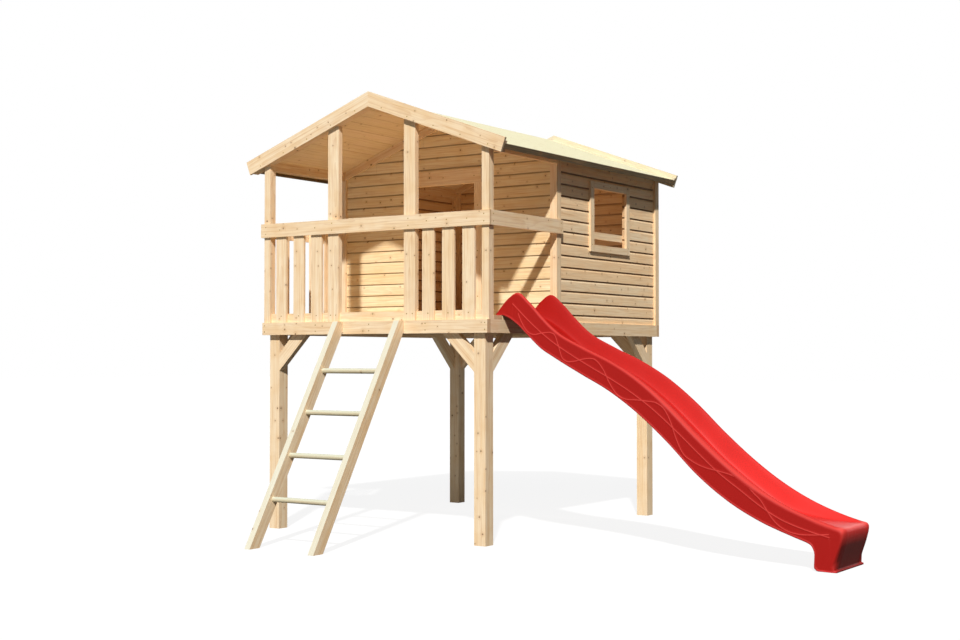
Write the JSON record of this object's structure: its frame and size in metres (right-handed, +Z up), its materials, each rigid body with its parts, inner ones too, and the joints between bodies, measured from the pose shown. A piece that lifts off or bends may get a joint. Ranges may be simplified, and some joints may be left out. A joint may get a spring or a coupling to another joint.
{
  "type": "stilt playhouse",
  "caption": "Timber playhouse on braced stilts, with a slatted veranda, a boarded gabled house, a leaning ladder and a red wave slide.",
  "frame": {"origin": "on the ground, under the middle of the box that holds the whole playhouse with its ladder and slide", "axes": "+X to the right along the ladder front, towards the slide; +Y from the front to the back; +Z up"},
  "size_m": [4.412, 3.3914, 3.0567],
  "materials": {
    "planed_spruce": "planed, untreated, with small knots",
    "deck_boards": "planed, untreated",
    "wall_boards": "planed tongue and groove, untreated",
    "roof_boards": "planed tongue and groove, untreated",
    "red_polyethylene": "moulded, satin gloss",
    "zinc_plated_steel": "zinc plated"
  },
  "bodies": {
    "root": {"stilt_posts": "planed_spruce", "cross_braces": "planed_spruce", "side_braces": "planed_spruce", "front_beam": "planed_spruce", "rear_beam": "planed_spruce", "side_beams": "planed_spruce", "deck_joists": "planed_spruce", "deck_ledgers": "planed_spruce", "veranda_corner_posts": "planed_spruce", "house_corner_posts": "planed_spruce", "ladder_gap_uprights": "planed_spruce", "front_bottom_rail": "planed_spruce", "left_bottom_rail": "planed_spruce", "front_slats": "planed_spruce", "left_slats": "planed_spruce", "front_handrail": "planed_spruce", "side_handrails": "planed_spruce", "window_uprights": "planed_spruce", "window_head_and_sill": "planed_spruce", "window_bar": "planed_spruce", "door_uprights": "planed_spruce", "door_head": "planed_spruce", "front_rafters": "planed_spruce", "house_rafters": "planed_spruce", "wall_plates": "planed_spruce", "front_bargeboards": "planed_spruce", "rear_bargeboards": "planed_spruce", "eave_fascias": "planed_spruce", "verge_battens": "planed_spruce", "gable_rake_trims": "planed_spruce", "ladder_stringers": "planed_spruce", "ladder_rungs": "planed_spruce", "gable_wall_battens": "planed_spruce", "side_wall_battens": "planed_spruce", "window_battens": "planed_spruce", "door_threshold": "planed_spruce", "veranda_deck_boards": "deck_boards", "house_deck_boards": "deck_boards", "front_wall_boards": "wall_boards", "rear_wall_boards": "wall_boards", "right_wall_boards": "wall_boards", "left_wall_boards": "wall_boards", "right_roof_boards": "roof_boards", "left_roof_boards": "roof_boards", "slide": "red_polyethylene", "coach_screws": "zinc_plated_steel", "coach_screw_washers": "zinc_plated_steel", "brace_screws": "zinc_plated_steel", "frame_screws": "zinc_plated_steel", "deck_screws": "zinc_plated_steel", "handrail_screws": "zinc_plated_steel", "slat_screws": "zinc_plated_steel", "trim_screws": "zinc_plated_steel", "bargeboard_screws": "zinc_plated_steel", "ladder_screws": "zinc_plated_steel", "slide_screws": "zinc_plated_steel"}
  },
  "joints": []
}
